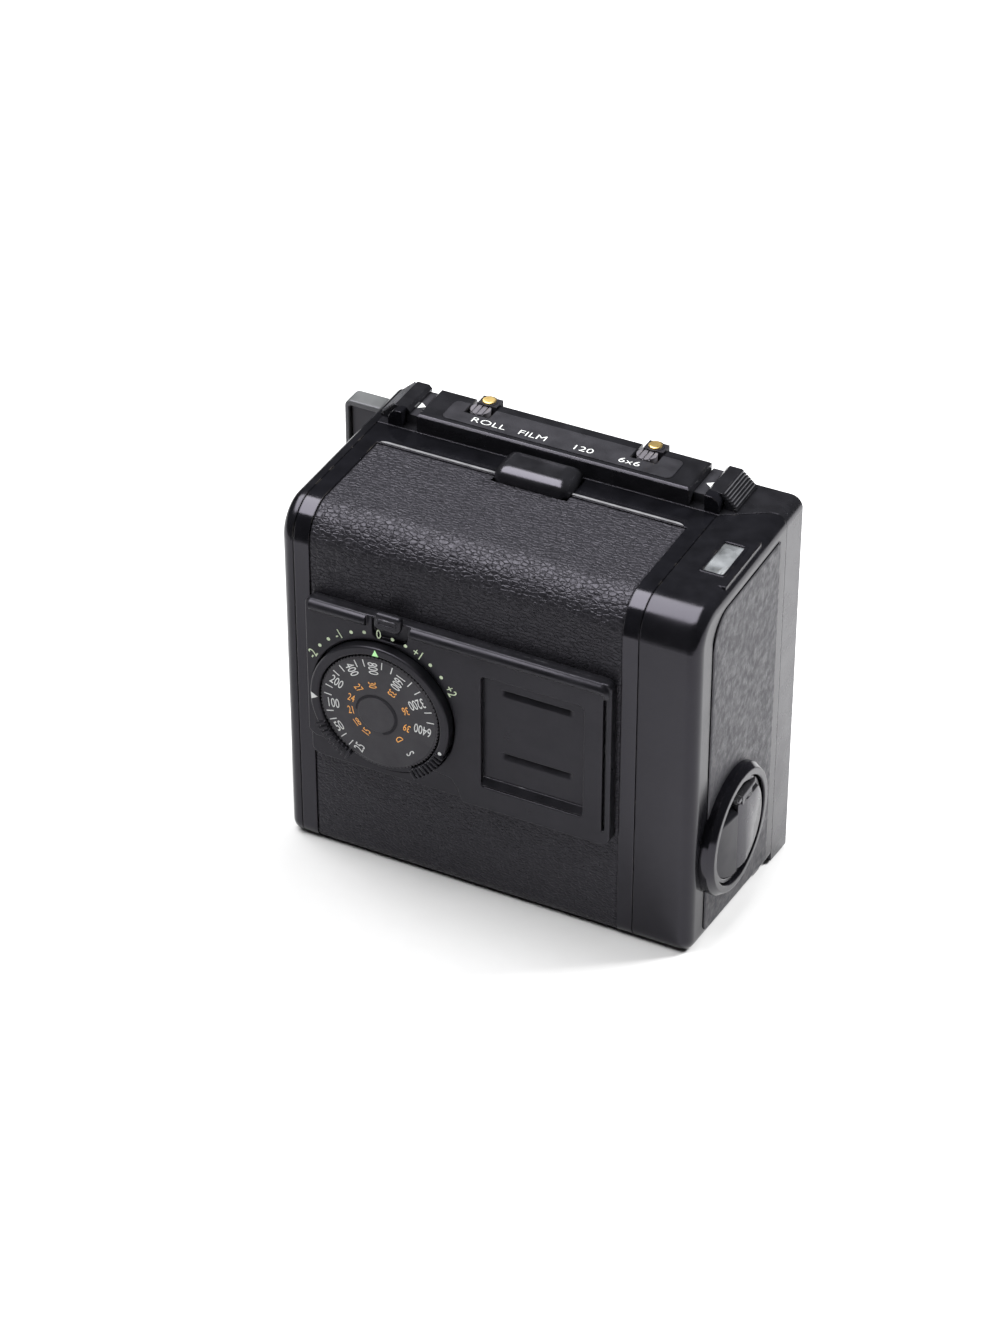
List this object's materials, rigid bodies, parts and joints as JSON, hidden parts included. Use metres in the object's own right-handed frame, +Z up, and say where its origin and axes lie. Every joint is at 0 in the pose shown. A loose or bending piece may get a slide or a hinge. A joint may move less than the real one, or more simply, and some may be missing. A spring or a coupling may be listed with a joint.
{
  "type": "roll-film camera magazine",
  "caption": "Detachable 6x6 roll-film magazine with hinged leather-covered back, film-speed dial, folding winding crank, sprung latches and pull-out dark slide.",
  "frame": {"origin": "on the sloping bottom face, in the middle of the housing's width and depth", "axes": "+X to the right across the dial face, +Y out of the face that meets the camera, +Z up"},
  "size_m": [0.104, 0.0543, 0.0929],
  "materials": {
    "shell_metal": "satin black enamel",
    "frame_metal": "semi-matt black enamel",
    "cover_metal": "glossy black enamel",
    "black_leather": "pebbled black leatherette",
    "black_plastic": "moulded black",
    "dial_plastic": "satin moulded black",
    "steel": "brushed",
    "chrome": "polished",
    "aluminium": "turned",
    "brass": "machined",
    "gold_contact": "gold plated",
    "inlay": "grainy grey",
    "foam": "black light-seal felt",
    "clear": "clear window",
    "white_plastic": "white numbered drum",
    "memo": "dark satin pad"
  },
  "bodies": {
    "magazine_body": {"left_wall": "shell_metal", "front_frame": "frame_metal", "gear_housing": "shell_metal", "gear_plate": "steel", "bottom_plate": "shell_metal", "side_leatherette": "black_leather", "counter_window": "clear", "crank_collar": "shell_metal", "nameplate_block": "frame_metal", "nameplate_inlay": "inlay", "contact_blocks": "black_plastic", "contact_bases": "inlay", "latch_plates": "inlay", "base_feet": "shell_metal", "mount_lugs": "steel", "frame_screws": "steel", "gate_seal": "foam", "slide_seal": "foam", "hinge_pin": "steel", "gear_arbors": "steel", "insert_frame": "aluminium", "roller_axles": "steel"},
    "cover": {"rear_cover": "cover_metal", "cover_leather": "black_leather", "cover_trim": "aluminium", "dial_plate": "dial_plastic", "memo_pad": "memo", "dial_pivot": "steel"},
    "release_button": {"cover_release_button": "dial_plastic", "cover_catch": "steel"},
    "comp_ring": {"compensation_ring": "dial_plastic"},
    "speed_disc": {"film_speed_disc": "dial_plastic", "dial_hub_cap": "dial_plastic"},
    "dial_lock": {"lock_button": "dial_plastic"},
    "latch_left": {"release_latch_left": "dial_plastic", "latch_hook_left": "shell_metal"},
    "latch_right": {"release_latch_right": "dial_plastic", "latch_hook_right": "shell_metal"},
    "contact_left": {"contact_pin_left": "gold_contact"},
    "contact_right": {"contact_pin_right": "gold_contact"},
    "dark_slide": {"dark_slide_blade": "steel", "dark_slide_handle": "black_plastic"},
    "knob": {"winding_knob": "shell_metal", "knob_shaft": "steel", "takeup_gear": "brass", "crank_pin": "steel"},
    "crank": {"crank_handle": "shell_metal"},
    "lower_spool": {"takeup_spool": "black_plastic"},
    "upper_spool": {"supply_spool": "black_plastic"},
    "lower_roller": {"roller_lower": "chrome"},
    "upper_roller": {"roller_upper": "chrome"},
    "idler": {"idler_gear": "brass"},
    "camera_drive": {"camera_drive_gear": "steel"},
    "transfer": {"transfer_gear": "brass"},
    "counter": {"counter_gear": "brass", "counter_drum": "white_plastic"},
    "pressure": {"pressure_plate": "dial_plastic", "pressure_springs": "steel"},
    "stud_lower": {"spool_stud_lower": "aluminium"},
    "stud_upper": {"spool_stud_upper": "aluminium"}
  },
  "joints": [
    {"name": "cover_hinge", "type": "hinge", "parent": "magazine_body", "child": "cover", "pos_m": [0, -0.021, 0.00677], "axis": [1, 0, 0], "range_deg": [0, 95]},
    {"name": "cover_release", "type": "slide", "parent": "cover", "child": "release_button", "axis": [0, 0, -1], "range_m": [0, 0.0012], "stiffness_N_per_m": 900, "springref_m": -0.0006},
    {"name": "compensation", "type": "hinge", "parent": "cover", "child": "comp_ring", "pos_m": [-0.0219, -0.027, 0.04437], "axis": [0, -1, 0], "range_deg": [-60, 60]},
    {"name": "film_speed", "type": "hinge", "parent": "comp_ring", "child": "speed_disc", "pos_m": [-0.0219, -0.027, 0.04437], "axis": [0, -1, 0], "range_deg": [-156, 96]},
    {"name": "dial_lock_press", "type": "slide", "parent": "cover", "child": "dial_lock", "axis": [0, 1, 0], "range_m": [0, 0.0008], "stiffness_N_per_m": 700, "springref_m": -0.0005},
    {"name": "latch_left_squeeze", "type": "slide", "parent": "magazine_body", "child": "latch_left", "axis": [1, 0, 0], "range_m": [0, 0.0022], "stiffness_N_per_m": 600, "springref_m": -0.0008},
    {"name": "latch_right_squeeze", "type": "slide", "parent": "magazine_body", "child": "latch_right", "axis": [-1, 0, 0], "range_m": [0, 0.0022], "stiffness_N_per_m": 600, "springref_m": -0.0008},
    {"name": "contact_left_press", "type": "slide", "parent": "magazine_body", "child": "contact_left", "axis": [0, 0, -1], "range_m": [0, 0.0008], "stiffness_N_per_m": 200, "springref_m": -0.0006},
    {"name": "contact_right_press", "type": "slide", "parent": "magazine_body", "child": "contact_right", "axis": [0, 0, -1], "range_m": [0, 0.0008], "stiffness_N_per_m": 200, "springref_m": -0.0006},
    {"name": "dark_slide_pull", "type": "slide", "parent": "magazine_body", "child": "dark_slide", "axis": [-1, 0, 0], "range_m": [0, 0.072]},
    {"name": "winding", "type": "hinge", "parent": "magazine_body", "child": "knob", "pos_m": [0.046, -0.0072, 0.02417], "axis": [1, 0, 0], "continuous": true},
    {"name": "crank_fold", "type": "hinge", "parent": "knob", "child": "crank", "pos_m": [0.0479, -0.0044, 0.03177], "axis": [0, -1, 0], "range_deg": [0, 95]},
    {"name": "takeup_turn", "type": "hinge", "parent": "magazine_body", "child": "lower_spool", "pos_m": [-0.0038, -0.0072, 0.02417], "axis": [1, 0, 0], "continuous": true},
    {"name": "supply_turn", "type": "hinge", "parent": "magazine_body", "child": "upper_spool", "pos_m": [-0.0038, -0.0072, 0.06317], "axis": [1, 0, 0], "continuous": true},
    {"name": "lower_roller_turn", "type": "hinge", "parent": "magazine_body", "child": "lower_roller", "pos_m": [-0.0038, 0.0126, 0.00997], "axis": [1, 0, 0], "continuous": true},
    {"name": "upper_roller_turn", "type": "hinge", "parent": "magazine_body", "child": "upper_roller", "pos_m": [-0.0038, 0.0126, 0.07237], "axis": [1, 0, 0], "continuous": true},
    {"name": "idler_turn", "type": "hinge", "parent": "magazine_body", "child": "idler", "pos_m": [0.0382, 0.00596, 0.02896], "axis": [1, 0, 0], "continuous": true},
    {"name": "camera_drive_turn", "type": "hinge", "parent": "magazine_body", "child": "camera_drive", "pos_m": [0.0382, 0.01793, 0.02813], "axis": [1, 0, 0], "continuous": true},
    {"name": "transfer_turn", "type": "hinge", "parent": "magazine_body", "child": "transfer", "pos_m": [0.0382, -0.00119, 0.04924], "axis": [1, 0, 0], "continuous": true},
    {"name": "counter_turn", "type": "hinge", "parent": "magazine_body", "child": "counter", "pos_m": [0.0382, -0.00207, 0.07222], "axis": [1, 0, 0], "continuous": true},
    {"name": "pressure_push", "type": "slide", "parent": "magazine_body", "child": "pressure", "axis": [0, -1, 0], "range_m": [0, 0.0006], "stiffness_N_per_m": 800, "springref_m": -0.0008},
    {"name": "stud_lower_pull", "type": "slide", "parent": "magazine_body", "child": "stud_lower", "axis": [-1, 0, 0], "range_m": [0, 0.003], "stiffness_N_per_m": 300, "springref_m": -0.002},
    {"name": "stud_upper_pull", "type": "slide", "parent": "magazine_body", "child": "stud_upper", "axis": [-1, 0, 0], "range_m": [0, 0.003], "stiffness_N_per_m": 300, "springref_m": -0.002}
  ],
  "couplings": [
    {"joint": "takeup_turn", "follows": "winding", "ratio": 1},
    {"joint": "idler_turn", "follows": "winding", "ratio": -1.3333},
    {"joint": "camera_drive_turn", "follows": "winding", "ratio": 1.3333},
    {"joint": "transfer_turn", "follows": "winding", "ratio": 0.51613},
    {"joint": "counter_turn", "follows": "winding", "ratio": -1.0667}
  ]
}
